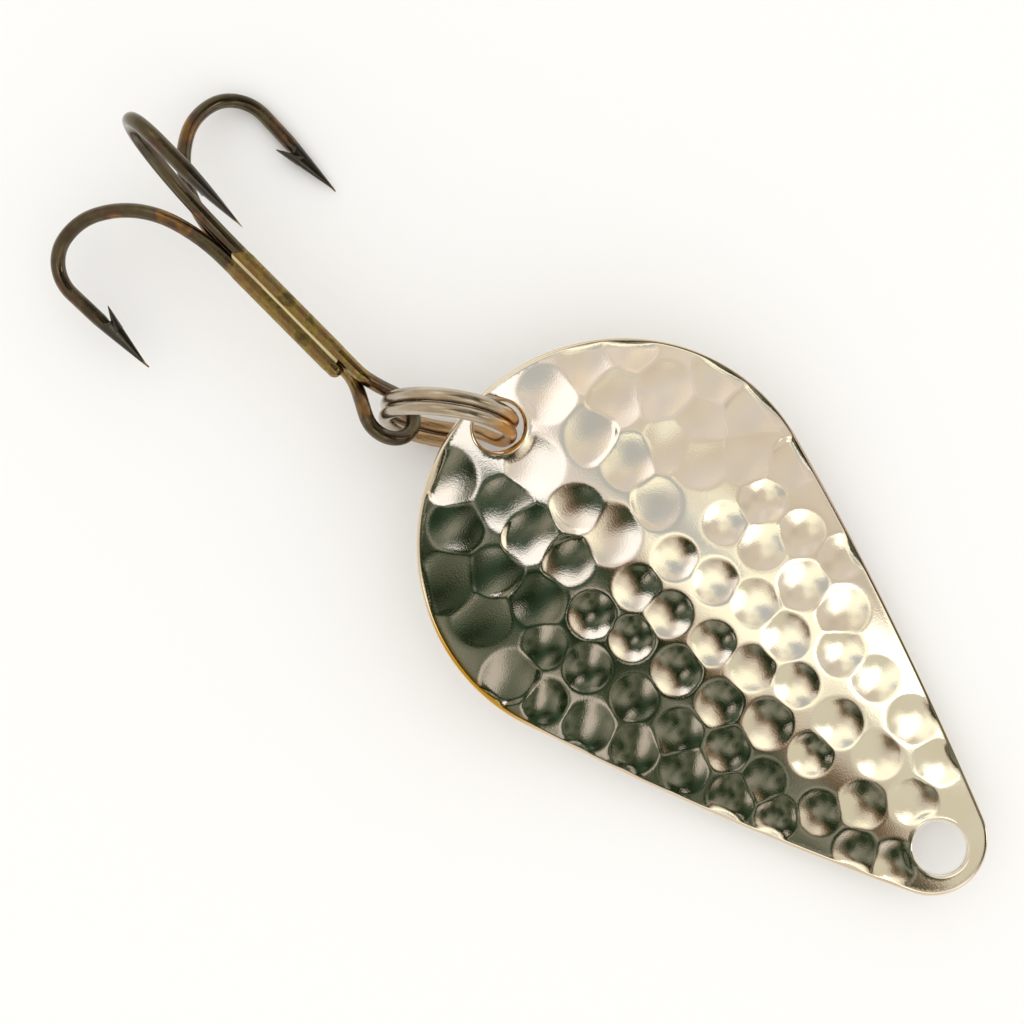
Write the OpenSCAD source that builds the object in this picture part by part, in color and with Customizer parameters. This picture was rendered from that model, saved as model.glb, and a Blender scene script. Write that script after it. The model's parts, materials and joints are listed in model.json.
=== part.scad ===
// Spoon lure: a hammered metal blade, a split ring in its wide end, and a brazed treble hook.
// The lure lies on a flat surface, hollow side up.  Origin: the middle of the line-tie hole.
// +X runs from the hook end to the line-tie end, +Z is up.

/* [Blade] */
// Overall length of the blade
blade_len = 45; // [30:0.5:80]
// Radius of the round hook end, half of the blade's width
wide_end_r = 13.25; // [9:0.25:20]
// Radius of the narrow line-tie end
tip_r = 3.8; // [3:0.1:6]
// Radius of the slightly bowed long edges
side_r = 160; // [120:5:400]
// Sheet thickness
blade_t = 1; // [0.6:0.1:1.5]
// Radius of the belly along the blade
belly_long_r = 85; // [80:1:120]
// Radius of the belly across the blade
belly_cross_r = 38; // [32:1:39]
// Distance from the line-tie hole to the lowest point of the belly
belly_back = 15; // [12:0.5:18]

/* [Holes] */
// Diameter of the line-tie hole
line_tie_d = 3.4; // [2.5:0.1:3.6]
// Distance from the tip to the middle of the line-tie hole
line_tie_inset = 2.75; // [2.6:0.05:3.5]
// Diameter of the hole that the split ring goes through
ring_hole_d = 3.3; // [3.2:0.1:3.5]
// Distance from the wide end to the middle of the ring's hole
ring_hole_inset = 2.2; // [2.1:0.05:3]

/* [Split ring] */
// Outside diameter of the ring
ring_od = 9; // [8.5:0.1:10]
// Thickness of its round wire
ring_wire_d = 0.88; // [0.8:0.02:0.9]
// Gap between the two turns
ring_gap = 0.04; // [0.02:0.01:0.08]
// How far the wire stands off the middle of its hole, on the blade's side
ring_stand_off = 0.85; // [0.6:0.05:0.85]
// Turn of the ring from straight behind the blade
ring_yaw = 36; // [0:1:45]
// Lean of the ring from upright
ring_lean = 12; // [0:1:14]
// Length of the cross-over between the turns, in degrees round the ring
cross_over = 56; // [40:1:80]

/* [Treble hook] */
// Thickness of the hook wire
hook_wire_d = 0.95; // [0.8:0.05:1]
// Thickness of the braze film between the three wires
braze_gap = 0.04; // [0.02:0.01:0.06]
// Inside radius of the eye
eye_r = 1.25; // [1.15:0.05:1.4]
// Distance from the ring's wire in the eye to where the strands lie side by side
neck_x = 2.8; // [2.7:0.1:4]
// Distance from the ring's wire in the eye to the start of the bends
shank_len = 14; // [12:0.1:20]
// Length of the straight leg between the bend and the spear
leg_len = 2.4; // [1:0.1:4]
// Length of the spear, from the barb to the point
spear_len = 4.5; // [3:0.1:6]
// Height of the barb's tip over the middle of the leg
barb_h = 1.1; // [0.8:0.05:1.3]
// Tilt of the eye about the shank, its upper strand down
eye_tilt = 40; // [0:1:45]
// Turn of the hook from straight behind the blade
hook_yaw = 1.7; // [-2:0.1:4]

/* [Hidden] */
$fn = 96;
fine_fn = 32;

// Blade: where it is cut, and where it rests
tip_x = line_tie_inset;
wide_x = tip_x - blade_len;
wide_centre_x = wide_x + wide_end_r;
tip_centre_x = tip_x - tip_r;
mid_long_r = belly_long_r - blade_t / 2;
function skin_angle(x) = asin((x + belly_back) / mid_long_r);
function skin_z(x) = belly_long_r - mid_long_r * cos(skin_angle(x)) + table_z;
table_z = mid_long_r * cos(asin(belly_back / mid_long_r)) - belly_long_r;
cut_low = -6;
cut_high = 12;

// Long edges: big circles that touch both end circles from outside
end_gap = tip_centre_x - wide_centre_x;
side_dx = (pow(side_r - wide_end_r, 2) - pow(side_r - tip_r, 2) + end_gap * end_gap) / (2 * end_gap);
side_dy = sqrt(pow(side_r - wide_end_r, 2) - side_dx * side_dx);
touch_wide_x = wide_centre_x - side_dx * wide_end_r / (side_r - wide_end_r);
touch_tip_x = tip_centre_x + (end_gap - side_dx) * tip_r / (side_r - tip_r);

// Ring: its wire goes through the hole, and its far side through the hook's eye
ring_hole_x = wide_x + ring_hole_inset;
ring_mean_r = (ring_od - ring_wire_d) / 2;
turn_pitch = ring_wire_d + ring_gap;
ring_out = [-cos(ring_yaw), -sin(ring_yaw)];
ring_x = ring_hole_x + ring_out[0] * (ring_mean_r - ring_stand_off);
ring_y = ring_out[1] * (ring_mean_r - ring_stand_off);
ring_z = table_z + ring_mean_r * cos(ring_lean) + turn_pitch / 2 * sin(ring_lean) + ring_wire_d / 2;
cross_over_at = 228;
cross_over_steps = 14;
cross_over_tuck = 4;

// Hook: the three wires lie in a triangle round the shank's axis
eye_x = ring_x + ring_out[0] * ring_mean_r;
eye_y = ring_y + ring_out[1] * ring_mean_r;
eye_slack = -0.3;
eye_z = ring_z;
eye_mean_r = eye_r + hook_wire_d / 2;
bundle_r = (hook_wire_d + braze_gap) / sqrt(3);

// Place of each wire round the shank, then the way its hook points: degrees from up to the +Y side
upper_wire = 60;
upper_hook = 8;
side_wire = 180;
side_hook = 117;
single_wire = -60;
single_hook = -106;

// Bends of one hook, each [radius, turn], from the shank to the leg
bends = [[13, 18], [7.2, 43], [4.5, 37], [2.6, 84]];
bend_step = 7;
function turned(i) = i < 0 ? 0 : bends[i][1] + turned(i - 1);
function risen(i) = i < 0 ? 0
  : bends[i][0] * (cos(turned(i - 1)) - cos(turned(i))) + risen(i - 1);
function reached(i) = i < 0 ? 0
  : bends[i][0] * (sin(turned(i)) - sin(turned(i - 1))) + reached(i - 1);
last_bend = len(bends) - 1;
leg_dir = [cos(turned(last_bend)), sin(turned(last_bend))];
leg_start = [reached(last_bend), risen(last_bend)];
spear_start = leg_start + leg_len * leg_dir;
point_out = 0.1;
point_r = 0.03;

// Centre line of one hook in its own plane: [along the shank, away from the shank]
hook_curve = concat(
  [for (i = [0 : last_bend]) let (steps = ceil(bends[i][1] / bend_step))
    for (k = [1 : steps]) let (at = turned(i - 1) + bends[i][1] * k / steps)
      [reached(i - 1) + bends[i][0] * (sin(at) - sin(turned(i - 1))),
       risen(i - 1) + bends[i][0] * (cos(turned(i - 1)) - cos(at))]],
  [spear_start, spear_start + spear_len * leg_dir + [0, point_out]]);

// The hook is pitched so that the lower hook of the pair rests on the table
low_drop = bundle_r - spear_start[1] * cos(side_hook) + hook_wire_d / 2;
hook_pitch = asin((table_z + low_drop - eye_z) / (shank_len + spear_start[0]));

// Eye: the loop's strands leave it on straight tangents that close up on the shank
strand_y = (hook_wire_d + braze_gap) / 2;
strand_turn = asin(eye_mean_r / norm([neck_x - eye_slack, strand_y])) - atan2(strand_y, neck_x - eye_slack);
loop_leave = 90 - strand_turn;
tuck = 0.3;
tuck_r = hook_wire_d / 2 - 0.01;
strand_pull = 0.8;
strand_ease = 1;
strand_steps = 12;
upper_lands_x = neck_x + 0.4;
side_lands_x = neck_x + 0.8;
side_dip = 0.5;
blunt_x = neck_x + 0.9;
braze_start_x = neck_x + 1.4;
braze_end_x = shank_len - 0.2;
seam_fill = 0.28;

function unit(v) = v / norm(v);
function wire_at(around, x) = [x, -bundle_r * sin(around), bundle_r * cos(around)];

// A hook's centre line in the hook frame, from the start of its bends to its point
function limb(around, points) = [for (p = hook_curve)
  wire_at(around, shank_len + p[0]) + p[1] * [0, -sin(points), cos(points)]];

// An eye strand: out of the loop on side -1 or 1, then in a curve that may dip on its way to the shank
function strand(side, around, lands_x, dip) =
  let (across = side * [0, cos(eye_tilt), sin(eye_tilt)],
       leave = [eye_slack + eye_mean_r * cos(loop_leave), 0, 0] + eye_mean_r * sin(loop_leave) * across,
       way = [cos(strand_turn), 0, 0] - sin(strand_turn) * across,
       lands = wire_at(around, lands_x),
       pulls = [leave, leave + strand_pull * way, lands - [strand_ease, 0, dip], lands])
  concat([leave - tuck * way], [for (k = [0 : strand_steps]) bezier(pulls, k / strand_steps)]);

function bezier(p, t) = pow(1 - t, 3) * p[0] + 3 * pow(1 - t, 2) * t * p[1]
  + 3 * (1 - t) * t * t * p[2] + pow(t, 3) * p[3];

function tangent(path, i) =
  unit(path[min(i + 1, len(path) - 1)] - path[max(i - 1, 0)]);

// A round wire along a path, with one radius for each point
module wire(path, radii, sides = 24) {
  n = len(path);
  across = [for (i = 0, v = cross(tangent(path, 0), [0, 0, 1]); i < n; i = i + 1,
    v = i < n ? v - (v * tangent(path, i)) * tangent(path, i) : v) unit(v)];
  polyhedron(
    points = [for (i = [0 : n - 1]) let (u = across[i], w = cross(tangent(path, i), u))
      for (k = [0 : sides - 1])
        path[i] + radii[i] * (cos(360 * k / sides) * u + sin(360 * k / sides) * w)],
    faces = concat(
      [[for (k = [0 : sides - 1]) k]],
      [for (i = [0 : n - 2]) for (k = [0 : sides - 1]) let (j = (k + 1) % sides)
        [i * sides + k, (i + 1) * sides + k, (i + 1) * sides + j, i * sides + j]],
      [[for (k = [sides - 1 : -1 : 0]) (n - 1) * sides + k]]));
}

// The raised barb on the inside of the spear
module barb(around, points) {
  fin_t = 0.5;
  translate(wire_at(around, shank_len)) rotate([90 + points, 0, 0])
    translate([spear_start[0], spear_start[1], -fin_t / 2]) rotate(turned(last_bend))
      linear_extrude(fin_t)
        polygon([[-0.15, barb_h], [spear_len * 0.78, 0.04], [spear_len * 0.3, -0.1], [0.6, 0.1]]);
}

// Hook frame: origin on the ring's wire in the eye, +X along the shank to the bends
module in_hook_frame() {
  translate([eye_x, eye_y, eye_z]) rotate([0, 0, 180 - hook_yaw]) rotate([0, -hook_pitch, 0]) children();
}

module blade_outline() {
  translate([wide_centre_x, 0, cut_low]) cylinder(r = wide_end_r, h = cut_high - cut_low, $fn = 180);
  translate([tip_centre_x, 0, cut_low]) cylinder(r = tip_r, h = cut_high - cut_low);
  intersection() {
    intersection_for(side = [-1, 1]) {
      translate([wide_centre_x + side_dx, -side * side_dy, cut_low])
        cylinder(r = side_r, h = cut_high - cut_low, $fn = 720);
    }
    translate([touch_wide_x, -side_r, cut_low])
      cube([touch_tip_x - touch_wide_x, 2 * side_r, cut_high - cut_low]);
  }
}

// A doubly curved bowl: a ring-shaped solid with the belly's two radii
module belly(cross_r) {
  translate([-belly_back, 0, table_z + belly_long_r]) rotate([90, 0, 0])
    rotate_extrude($fn = 360) translate([belly_long_r - belly_cross_r, 0]) circle(r = cross_r, $fn = 360);
}

// A drill square to the sheet at x
module drill(x, d) {
  translate([x, 0, skin_z(x)]) rotate([0, -skin_angle(x), 0])
    cylinder(d = d, h = 4 * blade_t, center = true);
}

module spoon_blade() color([0.86, 0.83, 0.76]) {
  difference() {
    intersection() {
      blade_outline();
      belly(belly_cross_r);
    }
    belly(belly_cross_r - blade_t);
    drill(0, line_tie_d);
    drill(ring_hole_x, ring_hole_d);
  }
}

// The cross-over: at 0 and 1 it is inside the ends of the two turns
function cross_over_point(way) =
  let (at = cross_over_at + (way - 0.5) * (cross_over + 2 * cross_over_tuck),
       swing = min(1, max(0, (at - cross_over_at) / cross_over + 0.5)))
  [ring_mean_r * cos(at), ring_mean_r * sin(at), -turn_pitch / 2 * cos(180 * swing)];

module split_ring() color([0.72, 0.70, 0.66]) {
  path = [for (k = [0 : cross_over_steps]) cross_over_point(k / cross_over_steps)];
  translate([ring_x, ring_y, ring_z]) rotate([0, 0, 180 + ring_yaw]) rotate([90 + ring_lean, 0, 0]) {
    for (side = [-1, 1]) {
      translate([0, 0, side * turn_pitch / 2]) rotate(cross_over_at + cross_over / 2)
        rotate_extrude(angle = 360 - cross_over) translate([ring_mean_r, 0])
          circle(d = ring_wire_d, $fn = fine_fn);
    }
    wire(path, [for (p = path) ring_wire_d / 2 - 0.01]);
  }
}

// The eye's loop
module hook_loop() {
  translate([eye_slack, 0, 0]) rotate([eye_tilt, 0, 0]) rotate(loop_leave)
    rotate_extrude(angle = 360 - 2 * loop_leave) translate([eye_mean_r, 0])
      circle(d = hook_wire_d, $fn = fine_fn);
}

// Half of the double wire: a strand of the eye, its shank, its hook and its barb
module half_wire(side, around, points, lands_x, dip) {
  start = strand(side, around, lands_x, dip);
  path = concat(start, [wire_at(around, shank_len)], limb(around, points));
  shaft = len(path) - 1;
  wire(path, [for (i = [0 : shaft]) i < 2 ? tuck_r : i < shaft ? hook_wire_d / 2 : point_r]);
  barb(around, points);
}

module hook_double_wire() color([0.36, 0.31, 0.22]) in_hook_frame() {
  hook_loop();
  half_wire(-1, upper_wire, upper_hook, upper_lands_x, 0);
  half_wire(1, side_wire, side_hook, side_lands_x, side_dip);
}

// The third wire starts with a rounded end on the shank
module hook_single_wire() color([0.36, 0.31, 0.22]) in_hook_frame() {
  r = hook_wire_d / 2;
  cap = [for (a = [10 : 20 : 90]) [r * (1 - cos(a)), r * sin(a)]];
  path = concat([for (c = cap) wire_at(single_wire, blunt_x + c[0])],
    [wire_at(single_wire, shank_len)], limb(single_wire, single_hook));
  shaft = len(path) - 1;
  wire(path, [for (i = [0 : shaft]) i < len(cap) ? cap[i][1] : i < shaft ? r : point_r]);
  barb(single_wire, single_hook);
}

// Braze: it fills the middle and the three seams of the shank
module hook_braze() color([0.62, 0.52, 0.24]) in_hook_frame() {
  places = [upper_wire, side_wire, single_wire];
  fill_r = bundle_r + 2 * seam_fill;
  translate([braze_start_x, 0, 0]) rotate([90, 0, 90]) linear_extrude(braze_end_x - braze_start_x)
    difference() {
      intersection() {
        polygon([for (a = places) [-fill_r * sin(a), fill_r * cos(a)]]);
        circle(r = bundle_r + hook_wire_d / 4, $fn = fine_fn);
      }
      for (a = places) {
        translate([-bundle_r * sin(a), bundle_r * cos(a)]) circle(d = hook_wire_d, $fn = fine_fn);
      }
    }
}

spoon_blade();
split_ring();
hook_double_wire();
hook_single_wire();
hook_braze();
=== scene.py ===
"""The looks of a spoon lure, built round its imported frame: blade, split ring and treble hook.

Lengths are in millimetres until the last step, which scales each mesh to metres. Dimensions that
the frame doesn't give repeat the CAD part's own.
"""

import json
import math

import bpy
import numpy as np
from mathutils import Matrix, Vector
from mathutils.geometry import delaunay_2d_cdt


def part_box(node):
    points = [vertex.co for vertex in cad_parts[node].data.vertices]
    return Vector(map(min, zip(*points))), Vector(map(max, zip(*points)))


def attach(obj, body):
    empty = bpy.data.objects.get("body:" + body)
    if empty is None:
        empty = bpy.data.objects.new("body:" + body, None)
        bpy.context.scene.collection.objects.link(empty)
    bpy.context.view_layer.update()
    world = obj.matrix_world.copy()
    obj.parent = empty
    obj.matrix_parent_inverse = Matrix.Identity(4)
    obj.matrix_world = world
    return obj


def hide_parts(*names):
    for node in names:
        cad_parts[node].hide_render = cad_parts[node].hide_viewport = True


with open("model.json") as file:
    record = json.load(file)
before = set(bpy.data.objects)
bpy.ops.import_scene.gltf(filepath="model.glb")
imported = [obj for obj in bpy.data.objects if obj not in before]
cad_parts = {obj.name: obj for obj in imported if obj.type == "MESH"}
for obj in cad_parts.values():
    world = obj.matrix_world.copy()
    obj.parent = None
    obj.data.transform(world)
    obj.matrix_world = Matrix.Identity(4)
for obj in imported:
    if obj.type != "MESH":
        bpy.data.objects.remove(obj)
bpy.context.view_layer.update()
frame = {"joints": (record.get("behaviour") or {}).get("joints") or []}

MM = 0.001
UP = np.array([0.0, 0.0, 1.0])
ALONG = np.array([1.0, 0.0, 0.0])


def node_box(node):
    """A CAD node's lowest and highest corner in millimetres."""
    low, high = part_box(node)
    return np.array(low) / MM, np.array(high) / MM


def joint_place(name):
    """Where a joint of the frame turns, in millimetres."""
    joint = next(j for j in frame["joints"] if j["name"] == name)
    return np.array(joint["pos_m"]) / MM


BLADE_LOW, BLADE_HIGH = node_box("spoon_blade")
RING_LOW, RING_HIGH = node_box("split_ring")
TABLE_Z = BLADE_LOW[2]

# Blade: the sheet, the belly's two radii, and the four arcs of the outline
SHEET = 1.0
BELLY_LONG_R = 85.0
BELLY_CROSS_R = 38.0
BELLY_BACK = 15.0
WIDE_END_R = 13.25
TIP_R = 3.8
SIDE_R = 160.0
WIDE_CENTRE_X = BLADE_LOW[0] + WIDE_END_R
TIP_CENTRE_X = BLADE_HIGH[0] - TIP_R
# The radius of the rounded rims, and the mesh's fineness
EDGE_ROUND = 0.3
ROUND_STEPS = 6
GRID_STEP = 0.165

# Holes: the line-tie hole is the frame's origin
LINE_TIE = {"x": 0.0, "r": 1.7}
RING_HOLE = {"x": joint_place("ring_swivel")[0], "r": 1.65}
HOLE_POINTS = 96

# Ring: its wire, the step between its two turns, and where that step is
RING_WIRE = 0.88
RING_MEAN_R = 4.06
TURN_PITCH = 0.92
RING_LEAN = math.radians(12)
CROSS_OVER = math.radians(56)
CROSS_OVER_AT = math.radians(228)
TURN_POINTS = 150
STEP_POINTS = 30

# Hook, in its own frame: origin on the ring's wire in the eye, +X along the shank
EYE = joint_place("hook_swing")
HOOK_WIRE = 0.95
BUNDLE_R = 0.99 / math.sqrt(3)
EYE_MEAN_R = 1.725
EYE_SLACK = -0.3
EYE_TILT = math.radians(40)
NECK_X = 2.8
SHANK = 14.0
LEG = 2.4
SPEAR = 4.5
BARB_H = 1.1
POINT_LOW = 0.08
# Each bend of a hook: its radius and its turn in degrees
BENDS = [(13.0, 18.0), (7.2, 43.0), (4.5, 37.0), (2.6, 84.0)]
HOOK_YAW = math.radians(180 - 1.7)
HOOK_PITCH = math.radians(1.975)
# Where each wire lies round the shank, and where its hook points: degrees from up to the +Y side
UPPER, UPPER_HOOK = 60, 8
SIDE, SIDE_HOOK = 180, 117
SINGLE, SINGLE_HOOK = -60, -106
# The eye's strands: how far apart they close up, how far they follow the loop's tangent, where each
# comes to lie on the shank, and how far it dips on the way
STRAND_Y = 0.495
STRAND_PULL = 0.8
UPPER_STRAND = {"side": -1, "around": UPPER, "lands": NECK_X + 0.4, "dip": 0.0}
SIDE_STRAND = {"side": 1, "around": SIDE, "lands": NECK_X + 0.8, "dip": 0.5}
# Where the third wire starts
BLUNT_X = NECK_X + 0.9
# Braze: the film's thickness, the seams' radius and softness, and where it starts and ends
FILM = 0.045
SEAM_R = 0.62
SEAM_SOFT = 0.05
BRAZE_FROM = BLUNT_X + 0.65
BRAZE_TO = SHANK - 0.35


# ---------------------------------------------------------------- mesh helpers


def unit(v):
    """The vector at length 1."""
    return v / np.linalg.norm(v)


def smooth_step(x, low, high):
    """0 below low, 1 above high, and an S-shaped rise between."""
    t = np.clip((x - low) / (high - low), 0.0, 1.0)
    return t * t * (3 - 2 * t)


def make_object(name, verts, faces, sharp=None):
    """A smooth-shaded mesh object from points in millimetres."""
    mesh = bpy.data.meshes.new(name)
    mesh.from_pydata((np.asarray(verts) * MM).tolist(), [], faces)
    mesh.validate()
    mesh.update()
    mesh.polygons.foreach_set("use_smooth", [True] * len(mesh.polygons))
    if sharp:
        mesh.set_sharp_from_angle(angle=math.radians(sharp))
    obj = bpy.data.objects.new(name, mesh)
    bpy.context.scene.collection.objects.link(obj)
    return obj


def stack(parts):
    """One list of points and faces from several."""
    verts, faces = [], []
    for part_verts, part_faces in parts:
        start = len(verts)
        verts += [tuple(v) for v in part_verts]
        faces += [tuple(i + start for i in face) for face in part_faces]
    return verts, faces


def ring_faces(rings, sides):
    """Quads between rings of points that follow each other, and a flat face on each end."""
    faces = []
    for i in range(rings - 1):
        for k in range(sides):
            j = (k + 1) % sides
            faces.append((i * sides + k, i * sides + j, (i + 1) * sides + j, (i + 1) * sides + k))
    faces.append(tuple(range(sides - 1, -1, -1)))
    faces.append(tuple((rings - 1) * sides + k for k in range(sides)))
    return faces


def tangents(path):
    """The way ahead at each point of a path."""
    path = np.asarray(path)
    ahead = np.vstack([path[1:], path[-1:]])
    behind = np.vstack([path[:1], path[:-1]])
    way = ahead - behind
    return way / np.linalg.norm(way, axis=1)[:, None]


def tube(path, radii, sides=28, first=UP):
    """A round wire along a path, its sections carried along without twist."""
    path = np.asarray(path, float)
    ways = tangents(path)
    u = np.cross(ways[0], first)
    angles = np.linspace(0, 2 * math.pi, sides, endpoint=False)
    verts = []
    for centre, way, r in zip(path, ways, radii):
        u = unit(u - np.dot(u, way) * way)
        w = np.cross(way, u)
        for a in angles:
            verts.append(centre + r * (math.cos(a) * u + math.sin(a) * w))
    return verts, ring_faces(len(path), sides)


def loft(sections, sides=28):
    """A planar limb: each section is (centre, inward, across, inner, outer, half width)."""
    verts = []
    for centre, inward, across, inner, outer, half in sections:
        for k in range(sides):
            a = 2 * math.pi * k / sides
            reach = inner if math.cos(a) > 0 else outer
            verts.append(centre + reach * math.cos(a) * inward + half * math.sin(a) * across)
    return verts, ring_faces(len(sections), sides)


# ---------------------------------------------------------------- blade

SIDE_GAP = TIP_CENTRE_X - WIDE_CENTRE_X
SIDE_DX = ((SIDE_R - WIDE_END_R) ** 2 - (SIDE_R - TIP_R) ** 2 + SIDE_GAP**2) / (2 * SIDE_GAP)
SIDE_DY = math.sqrt((SIDE_R - WIDE_END_R) ** 2 - SIDE_DX**2)


def blade_z(x, y, cross_r):
    """Height of a doubly curved face: cross_r is BELLY_CROSS_R below, one sheet less on top."""
    cross = BELLY_LONG_R - BELLY_CROSS_R + np.sqrt(cross_r**2 - y**2)
    return TABLE_Z + BELLY_LONG_R - np.sqrt(cross**2 - (x + BELLY_BACK) ** 2)


def outline(inset):
    """The blade's outline, drawn inset: four arcs about fixed centres."""
    side_x = WIDE_CENTRE_X + SIDE_DX
    wide_turn = math.atan2(SIDE_DY, -SIDE_DX)
    tip_turn = math.atan2(SIDE_DY, SIDE_GAP - SIDE_DX)
    arcs = [
        (TIP_CENTRE_X, 0, TIP_R, -tip_turn, tip_turn, 64),
        (side_x, -SIDE_DY, SIDE_R, tip_turn, wide_turn, 180),
        (WIDE_CENTRE_X, 0, WIDE_END_R, wide_turn, 2 * math.pi - wide_turn, 300),
        (side_x, SIDE_DY, SIDE_R, 2 * math.pi - wide_turn, 2 * math.pi - tip_turn, 180),
    ]
    loops = []
    for cx, cy, r, start, end, count in arcs:
        a = np.linspace(start, end, count, endpoint=False)
        loops.append(np.stack([cx + (r - inset) * np.cos(a), cy + (r - inset) * np.sin(a)], axis=1))
    return np.vstack(loops)


def hole_tilt(hole):
    """The lean of a hole's axis, square to the sheet."""
    return math.asin((hole["x"] + BELLY_BACK) / (BELLY_LONG_R - SHEET / 2))


def hole_loop(hole, grow, side, drop):
    """A hole's edge, square to the sheet: side is 1 on top and -1 below."""
    a = np.linspace(0, 2 * math.pi, HOLE_POINTS, endpoint=False)
    tilt = hole_tilt(hole)
    x = hole["x"] + (hole["r"] + grow) * np.cos(a) * math.cos(tilt)
    x = x - math.sin(tilt) * side * (SHEET / 2 - drop)
    return np.stack([x, (hole["r"] + grow) * np.sin(a)], axis=1)


# Rows of hammer marks: the first mark of a row, the last, and how many
WIDE_MARKS = [
    ((-39.8, -4.1), (-29.9, -3.0), 4),
    ((-37.5, -6.6), (-30.4, -6.6), 3),
    ((-35.9, -9.6), (-28.9, -11.1), 3),
    ((-36.3, 0.0), (-29.6, 0.3), 3),
    ((-39.4, 3.5), (-28.8, 4.0), 4),
    ((-38.7, 6.2), (-28.3, 7.5), 4),
    ((-36.9, 9.0), (-27.5, 10.3), 4),
    ((-31.6, 12.3), (-24.2, 11.5), 3),
]
NARROW_MARKS = [
    ((-25.5, -10.8), (-9.1, -6.3), 6),
    ((-4.2, -4.1), (-1.6, -2.9), 2),
    ((-28.0, -8.1), (-7.6, -3.8), 7),
    ((-27.2, -4.7), (-10.2, -1.4), 6),
    ((-5.6, -1.5), (-3.4, 0.7), 2),
    ((-26.3, -1.5), (-16.9, -0.2), 4),
    ((-13.8, 1.5), (-7.2, 1.4), 3),
    ((-25.9, 2.0), (-16.5, 3.6), 4),
    ((-13.4, 5.1), (-10.5, 5.4), 2),
    ((-7.3, 4.7), (-4.0, 4.0), 2),
    ((-25.0, 5.5), (-15.5, 7.2), 4),
    ((-24.1, 8.6), (-17.8, 9.3), 3),
]
# One mark: its radius, the height of its cap, and its spread of tilts
WIDE_MARK = {"r": 1.95, "h": 0.10, "tilt": 0.035}
NARROW_MARK = {"r": 1.63, "h": 0.135, "tilt": 0.015}
MARK_SEED = 7
MARK_JITTER = 0.16
MARK_UNEVEN_R = 0.05
MARK_UNEVEN_H = 0.12


def hammer_marks():
    """Each mark as x, y, radius, height and its two tilts, with a small seeded unevenness."""
    rng = np.random.default_rng(MARK_SEED)
    marks = []
    for rows, kind in ((WIDE_MARKS, WIDE_MARK), (NARROW_MARKS, NARROW_MARK)):
        for first, last, count in rows:
            for t in np.linspace(0, 1, count):
                x, y = (1 - t) * np.array(first) + t * np.array(last)
                dx, dy, dr, dh, tx, ty = np.clip(rng.normal(0, 1, 6), -1.5, 1.5)
                marks.append((
                    x + MARK_JITTER * dx, y + MARK_JITTER * dy,
                    kind["r"] * (1 + MARK_UNEVEN_R * dr), kind["h"] * (1 + MARK_UNEVEN_H * dh),
                    kind["tilt"] * tx, kind["tilt"] * ty))
    return marks


MARKS = hammer_marks()
# How softly two marks meet, and the smooth margins along the outline and round the holes
CREASE = 0.008
RIM_MARGIN = (0.1, 0.65)
HOLE_MARGIN = (0.25, 0.9)


def edge_distance(x, y):
    """Distance to the outline, from the inside."""
    wide = WIDE_END_R - np.hypot(x - WIDE_CENTRE_X, y)
    tip = TIP_R - np.hypot(x - TIP_CENTRE_X, y)
    side = SIDE_R - np.hypot(x - WIDE_CENTRE_X - SIDE_DX, np.abs(y) + SIDE_DY)
    touch_wide = WIDE_CENTRE_X - SIDE_DX * WIDE_END_R / (SIDE_R - WIDE_END_R)
    touch_tip = TIP_CENTRE_X + (SIDE_GAP - SIDE_DX) * TIP_R / (SIDE_R - TIP_R)
    return np.where(x < touch_wide, np.minimum(wide, side), np.where(x > touch_tip, tip, side))


def hammering(x, y):
    """Height that the hammer marks raise the sheet by: round caps that meet in soft creases."""
    total = np.ones_like(x)
    for mx, my, r, h, tilt_x, tilt_y in MARKS:
        near = 1 - ((x - mx) ** 2 + (y - my) ** 2) / r**2
        tilt = tilt_x * (x - mx) + tilt_y * (y - my)
        rise = h * near + tilt * smooth_step(near, -0.8, -0.1)
        total += np.exp(np.clip(rise, -0.4, 0.4) / CREASE)
    height = CREASE * np.log(total)
    fade = smooth_step(edge_distance(x, y), *RIM_MARGIN)
    for hole in (LINE_TIE, RING_HOLE):
        beyond = np.hypot(x - hole["x"], y) - hole["r"]
        fade = fade * smooth_step(beyond, *HOLE_MARGIN)
    return height * fade


def face_points(holes):
    """Inner points of one blade face, on a triangular grid clear of its edges."""
    points = []
    row_step = GRID_STEP * math.sqrt(3) / 2
    rows = int(2 * WIDE_END_R / row_step) + 2
    xs = np.arange(BLADE_LOW[0], BLADE_HIGH[0], GRID_STEP)
    for row in range(rows):
        y = np.full_like(xs, -WIDE_END_R + row * row_step)
        x = xs + (row % 2) * GRID_STEP / 2
        keep = edge_distance(x, y) > EDGE_ROUND + 0.6 * GRID_STEP
        for hole in holes:
            clear = hole["r"] + EDGE_ROUND + 0.6 * GRID_STEP
            keep &= np.hypot(x - hole["shifted_x"], y) > clear
        points.append(np.stack([x[keep], y[keep]], axis=1))
    return np.vstack(points)


def round_rim(verts, faces, loop_start, loop_size, ring_at, outward):
    """A quarter round below a loop: ring_at gives its points for each (grow, drop)."""
    above = [loop_start + i for i in range(loop_size)]
    for k in range(1, ROUND_STEPS + 1):
        a = 0.5 * math.pi * k / ROUND_STEPS
        ring = ring_at(EDGE_ROUND * (1 - math.sin(a)), EDGE_ROUND * (1 - math.cos(a)))
        below = list(range(len(verts), len(verts) + loop_size))
        verts += [tuple(p) for p in ring]
        for i in range(loop_size):
            j = (i + 1) % loop_size
            quad = (above[i], below[i], below[j], above[j])
            faces.append(quad if outward else tuple(reversed(quad)))
        above = below
    return above


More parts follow.
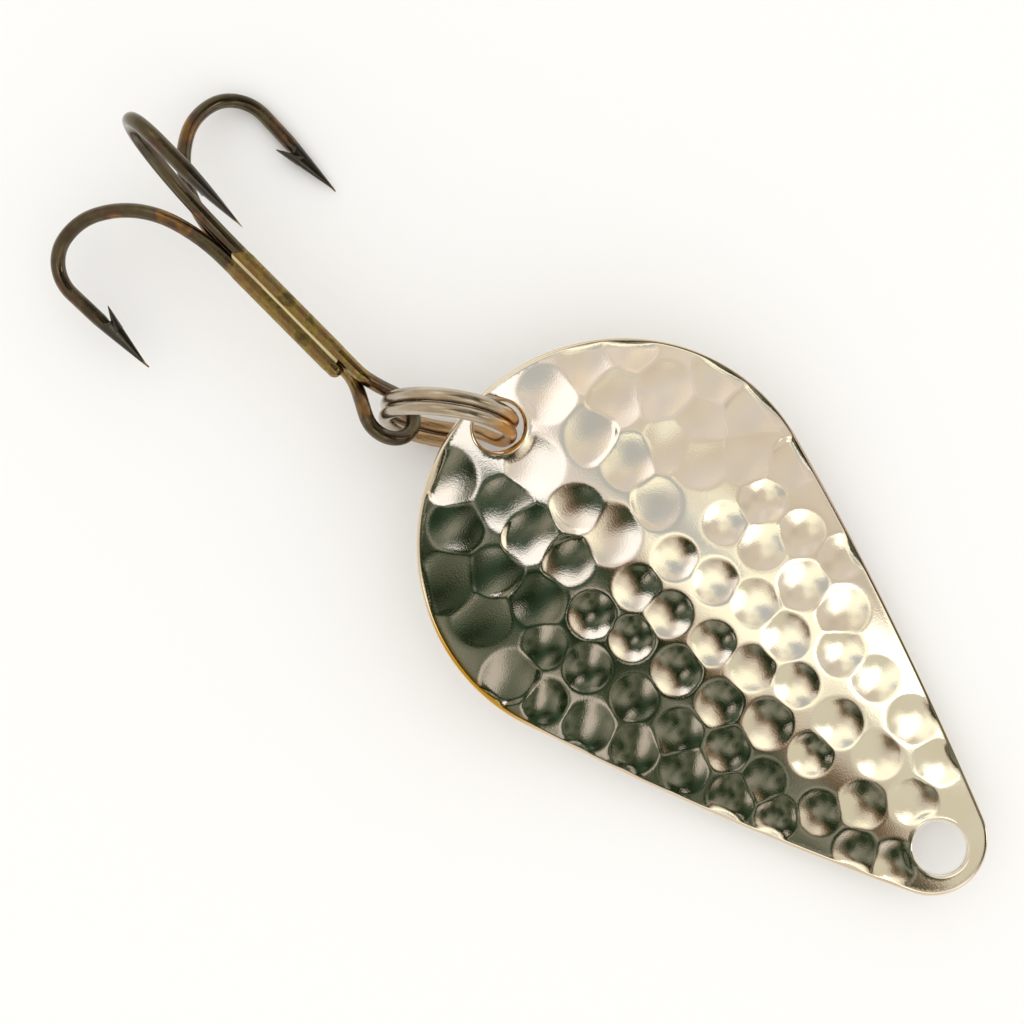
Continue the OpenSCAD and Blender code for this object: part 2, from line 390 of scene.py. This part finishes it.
def blade_face(side):
    """One face of the sheet with its rounded rims: side is 1 on top and -1 below."""
    cross_r = BELLY_CROSS_R - SHEET if side > 0 else BELLY_CROSS_R
    holes = []
    for hole in (LINE_TIE, RING_HOLE):
        shift = math.sin(hole_tilt(hole)) * side * SHEET / 2
        holes.append(dict(hole, shifted_x=hole["x"] - shift))
    loops = [outline(EDGE_ROUND)] + [hole_loop(h, EDGE_ROUND, side, 0) for h in holes]
    flat = np.vstack(loops + [face_points(holes)])
    edges, start = [], 0
    for loop in loops:
        n = len(loop)
        edges += [(start + i, start + (i + 1) % n) for i in range(n)]
        start += n
    found = delaunay_2d_cdt([Vector(p) for p in flat], edges, [], 0, 1e-6)
    points = np.array([tuple(p) for p in found[0]])

    def on_face(x, y):
        in_hole = any(math.hypot(x - h["shifted_x"], y) < h["r"] + EDGE_ROUND - 0.05 for h in holes)
        return edge_distance(x, y) >= EDGE_ROUND - 0.02 and not in_hole

    faces = [tuple(tri) if side > 0 else tuple(reversed(tri)) for tri in found[2]
             if on_face(*points[list(tri)].mean(axis=0))]
    x, y = points[:, 0], points[:, 1]
    z = blade_z(x, y, cross_r) + hammering(x, y)
    verts = [tuple(p) for p in np.stack([x, y, z], axis=1)]
    start = 0
    walls = []
    for index, loop in enumerate(loops):

        def ring_at(grow, drop, index=index):
            ring = outline(grow) if index == 0 else hole_loop(holes[index - 1], grow, side, drop)
            height = blade_z(ring[:, 0], ring[:, 1], cross_r) - side * drop
            return np.column_stack([ring, height])

        outward = (index == 0) == (side > 0)
        walls.append(round_rim(verts, faces, start, len(loop), ring_at, outward))
        start += len(loop)
    return verts, faces, walls


def build_blade():
    """The sheet: two hammered faces, joined by walls along the outline and through the holes."""
    top_verts, top_faces, top_walls = blade_face(1)
    low_verts, low_faces, low_walls = blade_face(-1)
    start = len(top_verts)
    faces = list(top_faces) + [tuple(i + start for i in f) for f in low_faces]
    for index, (above, below) in enumerate(zip(top_walls, low_walls)):
        n = len(above)
        for i in range(n):
            j = (i + 1) % n
            quad = (above[i], below[i] + start, below[j] + start, above[j])
            faces.append(quad if index == 0 else tuple(reversed(quad)))
    return make_object("blade", top_verts + low_verts, faces)


# ---------------------------------------------------------------- split ring


def ring_frame():
    """The ring's centre and its two in-plane directions and axis."""
    hole = joint_place("ring_swivel")
    out = unit(np.array([EYE[0] - hole[0], EYE[1] - hole[1], 0.0]))
    centre = EYE - RING_MEAN_R * out
    centre[2] = (RING_LOW[2] + RING_HIGH[2]) / 2
    side = np.array([out[1], -out[0], 0.0])
    up = math.cos(RING_LEAN) * UP + math.sin(RING_LEAN) * side
    return centre, out, up, np.cross(out, up)


def build_ring():
    """Two turns of wire with a cross-over under the blade, and a ground end on each turn."""
    centre, out, up, axis = ring_frame()
    start = CROSS_OVER_AT + CROSS_OVER / 2
    turn = 2 * math.pi - CROSS_OVER
    sides = np.concatenate([
        np.full(TURN_POINTS, -0.5), -0.5 * np.cos(np.linspace(0, math.pi, STEP_POINTS)),
        np.full(TURN_POINTS, 0.5)])
    angles = start + np.concatenate([
        np.linspace(0, turn, TURN_POINTS), turn + np.linspace(0, CROSS_OVER, STEP_POINTS + 2)[1:-1],
        2 * math.pi + np.linspace(0, turn, TURN_POINTS)])
    path = [centre + RING_MEAN_R * (math.cos(a) * out + math.sin(a) * up) + s * TURN_PITCH * axis
            for a, s in zip(angles, sides)]
    radii = np.full(len(path), RING_WIRE / 2)
    radii[0] = radii[-1] = RING_WIRE * 0.4
    radii[1] = radii[-2] = RING_WIRE * 0.48
    verts, faces = tube(path, radii, sides=32, first=axis)
    return make_object("split_ring_wire", verts, faces, sharp=60)


# ---------------------------------------------------------------- treble hook


def hook_to_frame(points):
    """From the hook's own frame to the row frame."""
    p = np.asarray(points, float)
    x = p[:, 0] * math.cos(HOOK_PITCH) - p[:, 2] * math.sin(HOOK_PITCH)
    z = p[:, 0] * math.sin(HOOK_PITCH) + p[:, 2] * math.cos(HOOK_PITCH)
    c, s = math.cos(HOOK_YAW), math.sin(HOOK_YAW)
    return np.stack([x * c - p[:, 1] * s, x * s + p[:, 1] * c, z], axis=1) + EYE


def wire_at(around, x):
    """The middle of one of the three wires, at x along the shank, in the hook's own frame."""
    a = math.radians(around)
    return np.array([x, -BUNDLE_R * math.sin(a), BUNDLE_R * math.cos(a)])


def hook_curve():
    """Centre line of one hook in its plane, with the heading in degrees at each point."""
    x, y, heading = 0.0, 0.0, 0.0
    curve = [(x, y, heading)]
    for radius, turn in BENDS:
        steps = math.ceil(turn / 3)
        for _ in range(steps):
            step = turn / steps
            h0, h1 = math.radians(heading), math.radians(heading + step)
            x += radius * (math.sin(h1) - math.sin(h0))
            y += radius * (math.cos(h0) - math.cos(h1))
            heading += step
            curve.append((x, y, heading))
    h = math.radians(heading)
    for _ in range(8):
        x += LEG / 8 * math.cos(h)
        y += LEG / 8 * math.sin(h)
        curve.append((x, y, heading))
    return curve


def spear(foot, way, inward, across):
    """The ground spear's sections from its foot to its point, and those of its barb."""
    r = HOOK_WIRE / 2

    def inner_edge(s):
        """A straight line from the barb's tip to the point."""
        return BARB_H - (BARB_H + POINT_LOW) * (s + 0.05) / (SPEAR + 0.05)

    # The outer side thins evenly; the inner side dips before the barb, then follows its edge
    sections = []
    for s in np.concatenate([np.linspace(0.1, 0.62, 5), np.linspace(0.75, SPEAR, 26)]):
        t = s / SPEAR
        outer = r * (1 - t) ** 0.9 + 0.1 * t
        inner = inner_edge(s) if s > 0.7 else r - 0.06 * smooth_step(s, 0.1, 0.6)
        if s >= SPEAR - 1e-6:
            outer, inner = 0.085, -0.065
        half = r * (1 - t**1.3) * 0.96 + 0.012
        sections.append((foot + s * way, inward, across, inner, outer, half))
    # The barb: a thin wedge from its sharp tip into the spear
    barb = []
    for s in np.linspace(-0.1, 1.5, 9):
        t = (s + 0.1) / 1.6
        top = inner_edge(s) + 0.015
        low = top - 0.05 - 0.75 * t
        middle = foot + s * way + (top + low) / 2 * inward
        barb.append((middle, inward, across, (top - low) / 2, (top - low) / 2, 0.05 + 0.34 * t**0.8))
    return sections, barb


def limb(around, points, from_x):
    """One shank, bend, leg and ground spear, with its barb as a second solid."""
    base = wire_at(around, 0)
    a = math.radians(points)
    rise = np.array([0.0, -math.sin(a), math.cos(a)])
    across = np.cross(ALONG, rise)
    r = HOOK_WIRE / 2
    sections = [(base + x * ALONG, rise, across, r, r, r) for x in np.linspace(from_x, SHANK - 0.2, 24)]
    for x, y, heading in hook_curve():
        h = math.radians(heading)
        way = math.cos(h) * ALONG + math.sin(h) * rise
        inward = -math.sin(h) * ALONG + math.cos(h) * rise
        foot = base + (SHANK + x) * ALONG + y * rise
        sections.append((foot, inward, across, r, r, r))
    spear_sections, barb = spear(foot, way, inward, across)
    return stack([loft(sections + spear_sections), loft(barb, sides=14)])


def bezier(p0, p1, p2, p3, count):
    """Points along a cubic curve."""
    t = np.linspace(0, 1, count)[:, None]
    return (1 - t) ** 3 * p0 + 3 * (1 - t) ** 2 * t * p1 + 3 * (1 - t) * t**2 * p2 + t**3 * p3


def eye_strand(strand, leave):
    """One strand of the eye, from the shank to where it joins the loop."""
    across = strand["side"] * np.array([0.0, math.cos(EYE_TILT), math.sin(EYE_TILT)])
    joins = EYE_SLACK * ALONG + EYE_MEAN_R * (math.cos(leave) * ALONG + math.sin(leave) * across)
    way = math.sin(leave) * ALONG - math.cos(leave) * across
    lands = wire_at(strand["around"], strand["lands"])
    start = wire_at(strand["around"], NECK_X + 2.5)
    straight = np.linspace(start, lands, 8)[:-1]
    curve = bezier(lands, lands - ALONG - strand["dip"] * UP, joins + STRAND_PULL * way, joins, 30)
    return np.vstack([straight, curve])


def eye_path():
    """From inside the braze on one wire, round the eye, and back on the other wire."""
    neck = NECK_X - EYE_SLACK
    reach = math.hypot(neck, STRAND_Y)
    leave = math.pi / 2 - (math.asin(EYE_MEAN_R / reach) - math.atan2(STRAND_Y, neck))
    a = np.linspace(-leave, -2 * math.pi + leave, 72)[1:-1]
    x, y = EYE_MEAN_R * np.cos(a), EYE_MEAN_R * np.sin(a)
    loop = np.stack([EYE_SLACK + x, y * math.cos(EYE_TILT), y * math.sin(EYE_TILT)], axis=1)
    return np.vstack([eye_strand(UPPER_STRAND, leave), loop, eye_strand(SIDE_STRAND, leave)[::-1]])


def build_double_wire():
    """The wire that makes the eye and two of the hooks."""
    path = eye_path()
    eye = tube(path, [HOOK_WIRE / 2] * len(path))
    from_x = NECK_X + 1.6
    verts, faces = stack([eye, limb(UPPER, UPPER_HOOK, from_x), limb(SIDE, SIDE_HOOK, from_x)])
    return make_object("hook_pair_and_eye", hook_to_frame(verts), faces, sharp=35)


def build_single_wire():
    """The third hook, with a blunt rounded end beside the neck."""
    r = HOOK_WIRE / 2
    turns = np.linspace(0.12, math.pi / 2, 9)
    cap_path = [wire_at(SINGLE, BLUNT_X + r * (1 - math.cos(a))) for a in turns]
    cap = tube(cap_path, [r * math.sin(a) for a in turns])
    verts, faces = stack([cap, limb(SINGLE, SINGLE_HOOK, BLUNT_X + r)])
    return make_object("hook_third_wire", hook_to_frame(verts), faces, sharp=35)


def bundle_reach(a):
    """How far the three wires reach from the shank's axis, at an angle round it."""
    r = HOOK_WIRE / 2
    reach = 0.0
    for place in (UPPER, SIDE, SINGLE):
        off = (a - math.radians(place) + math.pi) % (2 * math.pi) - math.pi
        under = r**2 - (BUNDLE_R * math.sin(off)) ** 2
        if under > 0 and math.cos(off) > 0:
            reach = max(reach, BUNDLE_R * math.cos(off) + math.sqrt(under))
    return reach


def build_braze():
    """The braze: a film over the three shanks that fills the seams, with wandering ends."""
    sides, rings = 120, 90
    verts = []
    for i in range(rings):
        t = i / (rings - 1)
        thin = FILM * 0.9 * (1 - min(1, 18 * min(t, 1 - t)))
        for k in range(sides):
            a = 2 * math.pi * k / sides
            seam = SEAM_R + 0.02 * math.sin(7 * t + 2.1 * a) + 0.012 * math.sin(23 * t + a)
            fillet = math.exp(bundle_reach(a) / SEAM_SOFT) + math.exp(seam / SEAM_SOFT)
            radius = SEAM_SOFT * math.log(fillet) + FILM * 0.4 - thin
            low = BRAZE_FROM + 0.1 * math.sin(a + 0.8) + 0.06 * math.sin(3 * a)
            high = BRAZE_TO + 0.3 * math.sin(2 * a + 1.0) + 0.08 * math.sin(5 * a)
            verts.append((low + (high - low) * t, -radius * math.sin(a), radius * math.cos(a)))
    return make_object("hook_braze_film", hook_to_frame(verts), ring_faces(rings, sides), sharp=60)


# ---------------------------------------------------------------- materials


def new_material(name, metallic=1.0):
    """A material, its nodes and links, and its shader."""
    mat = bpy.data.materials.new(name)
    mat.use_nodes = True
    nodes, links = mat.node_tree.nodes, mat.node_tree.links
    shader = nodes["Principled BSDF"]
    shader.inputs["Metallic"].default_value = metallic
    return mat, nodes, links, shader


def node(nodes, kind, **values):
    """A node with some of its inputs or settings set."""
    made = nodes.new(kind)
    for key, value in values.items():
        if key in made.inputs:
            made.inputs[key].default_value = value
        else:
            setattr(made, key, value)
    return made


def ramp(nodes, stops):
    """A colour ramp through (place, colour) stops."""
    made = nodes.new("ShaderNodeValToRGB")
    elements = made.color_ramp.elements
    while len(elements) < len(stops):
        elements.new(0.5)
    for element, (place, color) in zip(elements, stops):
        element.position = place
        element.color = (*color, 1)
    return made


def position(nodes):
    """The row frame's own position on the piece, in metres."""
    return nodes.new("ShaderNodeTexCoord").outputs["Object"]


def noise(nodes, links, scale, detail=3.0, roughness=0.5):
    """Noise with its scale in features per metre."""
    made = node(nodes, "ShaderNodeTexNoise", Scale=scale, Detail=detail, Roughness=roughness)
    links.new(position(nodes), made.inputs["Vector"])
    return made.outputs["Fac"]


def add_bump(nodes, links, shader, height, distance, strength):
    """Fine relief, its distance in metres."""
    bump = node(nodes, "ShaderNodeBump", Strength=strength, Distance=distance)
    links.new(height, bump.inputs["Height"])
    links.new(bump.outputs["Normal"], shader.inputs["Normal"])


def add_roughness(nodes, links, shader, fac, low, high):
    """Roughness from low to high as a noise goes from 0.3 to 0.7."""
    spread = node(nodes, "ShaderNodeMapRange")
    for name, value in (("From Min", 0.3), ("From Max", 0.7), ("To Min", low), ("To Max", high)):
        spread.inputs[name].default_value = value
    links.new(fac, spread.inputs["Value"])
    links.new(spread.outputs["Result"], shader.inputs["Roughness"])


def blend(nodes, links, fac, under, over):
    """One colour laid over another by fac. Each is a socket or three numbers."""
    mix = node(nodes, "ShaderNodeMix", data_type="RGBA")
    links.new(fac, mix.inputs[0])
    for socket, color in ((6, under), (7, over)):
        if isinstance(color, tuple):
            mix.inputs[socket].default_value = (*color, 1)
        else:
            links.new(color, mix.inputs[socket])
    return mix.outputs[2]


def span(nodes, links, value, low, high):
    """0 below low, 1 above high; low may be the greater."""
    made = node(nodes, "ShaderNodeMapRange", interpolation_type="SMOOTHSTEP")
    made.inputs["From Min"].default_value = low
    made.inputs["From Max"].default_value = high
    links.new(value, made.inputs["Value"])
    return made.outputs["Result"]


def layer(nodes, name):
    """A value that was painted on the piece's vertices."""
    return node(nodes, "ShaderNodeAttribute", attribute_name=name).outputs["Fac"]


def plated_blade():
    """Polished nickel over brass: clear reflections, a fine grain, and brass showing at the rim."""
    mat, nodes, links, shader = new_material("plated_blade")
    tone = ramp(nodes, [(0.35, (0.93, 0.89, 0.81)), (0.65, (0.97, 0.95, 0.90))])
    links.new(noise(nodes, links, 260, 2), tone.inputs["Fac"])
    color = blend(nodes, links, layer(nodes, "worn"), tone.outputs["Color"], (0.72, 0.42, 0.06))
    color = blend(nodes, links, layer(nodes, "red_edge"), color, (0.34, 0.13, 0.06))
    links.new(color, shader.inputs["Base Color"])
    add_roughness(nodes, links, shader, noise(nodes, links, 900, 4), 0.02, 0.06)
    add_bump(nodes, links, shader, noise(nodes, links, 9000, 2, 0.7), 0.00001, 0.25)
    return mat


def ring_metal():
    """Plated spring wire: painted shade as a darker brown on the turns under the blade, and an
    orange-brown tint by the hole.
    """
    mat, nodes, links, shader = new_material("ring_metal")
    tone = ramp(nodes, [
        (0.3, (0.38, 0.33, 0.25)), (0.5, (0.52, 0.46, 0.37)), (0.7, (0.64, 0.57, 0.47))])
    links.new(noise(nodes, links, 420, 3), tone.inputs["Fac"])
    place = node(nodes, "ShaderNodeSeparateXYZ")
    links.new(position(nodes), place.inputs["Vector"])
    color = tone.outputs["Color"]
    # Painted shade: the turns that run under the blade are laid over with a darker brown
    low = span(nodes, links, place.outputs["Z"], 1.6 * MM, -0.3 * MM)
    color = blend(nodes, links, low, color, (0.46, 0.32, 0.18))
    # An orange-brown tint on the part of the ring by the hole
    hole_x = RING_HOLE["x"] * MM
    by_hole = span(nodes, links, place.outputs["X"], hole_x - 0.95 * MM, hole_x + 0.75 * MM)
    color = blend(nodes, links, by_hole, color, (0.50, 0.25, 0.06))
    links.new(color, shader.inputs["Base Color"])
    add_roughness(nodes, links, shader, noise(nodes, links, 1800, 3), 0.20, 0.28)
    add_bump(nodes, links, shader, noise(nodes, links, 2600, 2), 0.00002, 0.12)
    return mat


def brassy(nodes, links):
    """The mottled olive, gold and purple-brown of a braze."""
    tone = ramp(nodes, [
        (0.30, (0.115, 0.080, 0.050)), (0.40, (0.20, 0.155, 0.060)), (0.47, (0.34, 0.26, 0.085)),
        (0.54, (0.27, 0.165, 0.085)), (0.61, (0.30, 0.24, 0.10)), (0.70, (0.15, 0.12, 0.075))])
    links.new(noise(nodes, links, 620, 4, 0.6), tone.inputs["Fac"])
    return tone.outputs["Color"]


def bronzed_wire():
    """Bronzed steel: olive and purple-brown, brassy near the braze, grey on the ground points."""
    mat, nodes, links, shader = new_material("bronzed_wire")
    tone = ramp(nodes, [
        (0.28, (0.050, 0.046, 0.036)), (0.42, (0.100, 0.080, 0.056)), (0.50, (0.135, 0.118, 0.072)),
        (0.58, (0.120, 0.082, 0.066)), (0.66, (0.26, 0.150, 0.060)), (0.76, (0.075, 0.066, 0.050))])
    links.new(noise(nodes, links, 330, 4), tone.inputs["Fac"])
    color = blend(nodes, links, layer(nodes, "ground"), tone.outputs["Color"], (0.085, 0.080, 0.074))
    color = blend(nodes, links, layer(nodes, "brazed"), color, brassy(nodes, links))
    links.new(color, shader.inputs["Base Color"])
    add_roughness(nodes, links, shader, noise(nodes, links, 1500, 3), 0.12, 0.24)
    add_bump(nodes, links, shader, noise(nodes, links, 4200, 3), 0.00003, 0.35)
    return mat


def braze_metal():
    """Mottled braze, with a painted highlight: a bright cream line along each seam."""
    mat, nodes, links, shader = new_material("braze_metal")
    seam = layer(nodes, "seam")
    # Painted highlight: the seam layer lays a bright cream colour along each seam
    color = blend(nodes, links, seam, brassy(nodes, links), (0.96, 0.86, 0.60))
    links.new(color, shader.inputs["Base Color"])
    add_roughness(nodes, links, shader, noise(nodes, links, 1400, 3), 0.34, 0.48)
    add_bump(nodes, links, shader, noise(nodes, links, 2600, 3), 0.00004, 0.4)
    return mat


def points_of(obj):
    """The vertices in millimetres."""
    return np.array([v.co for v in obj.data.vertices]) / MM


def paint(obj, name, values):
    """One number for each vertex, for the materials to read."""
    made = obj.data.attributes.new(name, "FLOAT", "POINT")
    made.data.foreach_set("value", np.asarray(values, dtype=np.float32))


def paint_blade(obj):
    """Brass and a coppery line show on the rim where the plating is worn."""
    p = points_of(obj)
    inside = edge_distance(p[:, 0], p[:, 1])
    brass_side = np.exp(-(((p[:, 0] + 30) / 5.5) ** 4)) * (p[:, 1] < 0)
    wide_rim = 1 - smooth_step(inside, 0.30, 0.55)
    thin_rim = 1 - smooth_step(inside, 0.02, 0.28)
    paint(obj, "worn", np.maximum(wide_rim * brass_side, 0.3 * thin_rim))
    red_side = np.exp(-(((p[:, 0] + 22) / 9) ** 4)) * (p[:, 1] > 0)
    paint(obj, "red_edge", 0.7 * thin_rim * red_side)


def in_hook_frame(obj):
    """Each vertex in the hook's own frame: along the shank, to the side, and up."""
    p = points_of(obj) - EYE
    c, s = math.cos(HOOK_YAW), math.sin(HOOK_YAW)
    flat = p[:, 0] * c + p[:, 1] * s
    side = -p[:, 0] * s + p[:, 1] * c
    along = flat * math.cos(HOOK_PITCH) + p[:, 2] * math.sin(HOOK_PITCH)
    rise = -flat * math.sin(HOOK_PITCH) + p[:, 2] * math.cos(HOOK_PITCH)
    return along, side, rise


def paint_wire(obj):
    """Braze colour on the neck and the shank, and grey steel on the ground spears."""
    along, side, rise = in_hook_frame(obj)
    on_shank = smooth_step(along, 1.7, 3.0) * (1 - smooth_step(along, SHANK - 0.6, SHANK - 0.3))
    paint(obj, "brazed", on_shank)
    off_axis = smooth_step(np.hypot(side, rise), 7.4, 8.2)
    paint(obj, "ground", off_axis * (1 - smooth_step(along, SHANK + 2.8, SHANK + 3.6)))


def paint_braze(obj):
    """The seams: low places on the film, half-way between the wires, where the braze's painted
    highlight goes.
    """
    _, side, rise = in_hook_frame(obj)
    around = np.degrees(np.arctan2(-side, rise))
    off = np.abs((around + 60) % 120 - 60)
    paint(obj, "seam", 1 - smooth_step(off, 5, 9))


# ---------------------------------------------------------------- studio


# Light and dark patches of the upper sky, in the order they are laid: the X and Y of the direction,
# how far they reach each way, how soft their edges are, and their colour
PATCHES_UNDER_CORNER = [
    (-0.14, -0.16, 0.30, 0.22, 0.30, (0.66, 0.60, 0.45)),
    (0.27, -0.13, 0.16, 0.12, 0.40, (1.15, 1.07, 0.82)),
    (0.07, -0.24, 0.11, 0.08, 0.40, (1.9, 1.8, 1.5)),
    (0.66, -0.10, 0.13, 0.22, 0.30, (1.30, 1.18, 1.12)),
    (0.40, -0.12, 0.11, 0.06, 0.40, (0.50, 0.49, 0.46)),
    (-0.46, 0.12, 0.20, 0.26, 0.30, (1.15, 1.10, 0.92)),
]
PATCHES_OVER_CORNER = [
    (0.64, 0.60, 0.09, 0.09, 0.40, (2.4, 2.2, 1.8)),
    (0.57, 0.10, 0.11, 0.09, 0.30, (1.10, 1.03, 0.96)),
]
SKY_SHAKE = 0.30
EVEN_LIGHT = (1.12, 1.11, 1.09)
FLOOR = 600
CAMERA_AT = (-35.61, -3.39, 112.0)
CAMERA_TURN = math.radians(43.56)


def build_world():
    """A studio sky: beige walls, bright windows on the -Y side, and a dark green corner towards +Y."""
    world = bpy.data.worlds.new("studio")
    bpy.context.scene.world = world
    world.use_nodes = True
    nodes, links = world.node_tree.nodes, world.node_tree.links
    nodes.clear()
    sky_way = nodes.new("ShaderNodeTexCoord").outputs["Generated"]

    def sky_noise(scale, detail, seed):
        made = node(nodes, "ShaderNodeTexNoise", Scale=scale, Detail=detail, Roughness=0.55)
        links.new(vector("ADD", sky_way, (seed, 2 * seed, 3 * seed)), made.inputs["Vector"])
        return made.outputs

    def vector(operation, a, b):
        made = node(nodes, "ShaderNodeVectorMath", operation=operation)
        links.new(a, made.inputs[0])
        made.inputs[1].default_value = b
        return made.outputs[0]

    def ramped(outputs, stops):
        made = ramp(nodes, stops)
        links.new(outputs, made.inputs["Fac"])
        return made.outputs["Color"]

    def times(a, b):
        made = node(nodes, "ShaderNodeMath", operation="MULTIPLY")
        links.new(a, made.inputs[0])
        links.new(b, made.inputs[1])
        return made.outputs[0]

    def over(fac, under, color):
        return blend(nodes, links, fac, under, color)

    def between(value, low, high):
        return span(nodes, links, value, low, high)

    # Ragged edges: the direction is shaken before the shapes are drawn
    shaken = node(nodes, "ShaderNodeVectorMath", operation="MULTIPLY_ADD")
    links.new(vector("SUBTRACT", sky_noise(5.0, 3.0, 1.0)["Color"], (0.5, 0.5, 0.5)), shaken.inputs[0])
    shaken.inputs[1].default_value = (SKY_SHAKE, SKY_SHAKE, 0.0)
    links.new(sky_way, shaken.inputs[2])
    split = node(nodes, "ShaderNodeSeparateXYZ")
    links.new(shaken.outputs[0], split.inputs["Vector"])
    way_x, way_y, way_z = split.outputs
    overhead = between(way_z, 0.2, 0.4)

    def lay(sky, patches):
        for x, y, reach_x, reach_y, soft, color in patches:
            off = vector("SUBTRACT", shaken.outputs[0], (x, y, 0))
            length = node(nodes, "ShaderNodeVectorMath", operation="LENGTH")
            links.new(vector("MULTIPLY", off, (1 / reach_x, 1 / reach_y, 0)), length.inputs[0])
            inside = between(length.outputs["Value"], 1 + soft, 1 - soft)
            sky = over(times(inside, overhead), sky, color)
        return sky

    walls = ramped(sky_noise(3.2, 2.0, 4.0)["Fac"], [
        (0.34, (0.56, 0.49, 0.40)), (0.46, (0.70, 0.60, 0.47)), (0.54, (0.66, 0.59, 0.53)),
        (0.64, (0.88, 0.74, 0.57))])
    horizon = (0.95, 0.92, 0.86)
    sky = lay(over(between(way_z, 0.0, 0.35), horizon, walls), PATCHES_UNDER_CORNER)

    # The corner: mottled greens, deeper where the wide end mirrors it, with a few beige things
    by_wide_end = between(way_x, 0.30, 0.48)
    deeper = node(nodes, "ShaderNodeMath", operation="MULTIPLY_ADD")
    links.new(by_wide_end, deeper.inputs[0])
    deeper.inputs[1].default_value = -0.065
    links.new(sky_noise(7.0, 1.5, 11.0)["Fac"], deeper.inputs[2])
    greens = ramped(deeper.outputs[0], [
        (0.36, (0.008, 0.015, 0.005)), (0.44, (0.026, 0.037, 0.017)), (0.51, (0.066, 0.076, 0.045)),
        (0.57, (0.125, 0.130, 0.088)), (0.66, (0.22, 0.21, 0.155))])
    things = times(between(sky_noise(4.2, 1.0, 7.0)["Fac"], 0.575, 0.62), between(way_x, 0.50, 0.34))
    corner = over(things, greens, (0.50, 0.44, 0.36))
    leafy = times(by_wide_end, between(sky_noise(5.0, 1.0, 21.0)["Fac"], 0.50, 0.60))
    corner = over(leafy, corner, (0.030, 0.058, 0.032))
    in_corner = times(between(way_x, -0.24, -0.12), between(way_x, 0.85, 0.62))
    in_corner = times(in_corner, between(way_z, 0.35, 0.55))
    brown_edge = (0.20, 0.13, 0.075)
    sky = over(times(in_corner, between(way_y, 0.04, 0.09)), sky, brown_edge)
    sky = over(times(in_corner, between(way_y, 0.08, 0.16)), sky, corner)
    sky = lay(sky, PATCHES_OVER_CORNER)

    # The floor and other dull things are lit evenly
    path = node(nodes, "ShaderNodeLightPath")
    back = node(nodes, "ShaderNodeBackground")
    links.new(over(path.outputs["Is Diffuse Ray"], sky, EVEN_LIGHT), back.inputs["Color"])
    links.new(back.outputs[0], node(nodes, "ShaderNodeOutputWorld").inputs["Surface"])


def build_floor():
    """A plain pale sheet of paper, just under the lure."""
    corners = [(-FLOOR, -FLOOR), (FLOOR, -FLOOR), (FLOOR, FLOOR), (-FLOOR, FLOOR)]
    verts = [(x, y, TABLE_Z - 0.03) for x, y in corners]
    floor = make_object("floor", verts, [(0, 1, 2, 3)])
    mat, _, _, shader = new_material("floor_paper", metallic=0.0)
    shader.inputs["Base Color"].default_value = (0.94, 0.94, 0.935, 1)
    shader.inputs["Roughness"].default_value = 0.9
    floor.data.materials.append(mat)


def build_camera():
    """Straight down, turned so that the blade's axis falls to the lower right."""
    camera = bpy.data.cameras.new("camera")
    camera.lens = 59.76
    camera.clip_start, camera.clip_end = 0.005, 10
    obj = bpy.data.objects.new("camera", camera)
    obj.location = Vector(CAMERA_AT) * MM
    obj.rotation_euler = (0, 0, CAMERA_TURN)
    bpy.context.scene.collection.objects.link(obj)
    bpy.context.scene.camera = obj


# ---------------------------------------------------------------- assembly

PIECES = [
    (build_blade, plated_blade, paint_blade, "blade", "spoon_blade", "nickel_blade"),
    (build_ring, ring_metal, None, "ring", "split_ring", "ring_wire"),
    (build_double_wire, bronzed_wire, paint_wire, "treble", "hook_double_wire", "hook_wire"),
    (build_single_wire, bronzed_wire, paint_wire, "treble", "hook_single_wire", "hook_wire"),
    (build_braze, braze_metal, paint_braze, "treble", "hook_braze", "braze"),
]

build_camera()
for build, material, painter, body, cad_node, finish in PIECES:
    piece = build()
    piece.data.materials.append(material())
    if painter:
        painter(piece)
    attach(piece, body)
    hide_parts(cad_node)

build_world()
build_floor()
bpy.context.scene.view_settings.view_transform = "Standard"
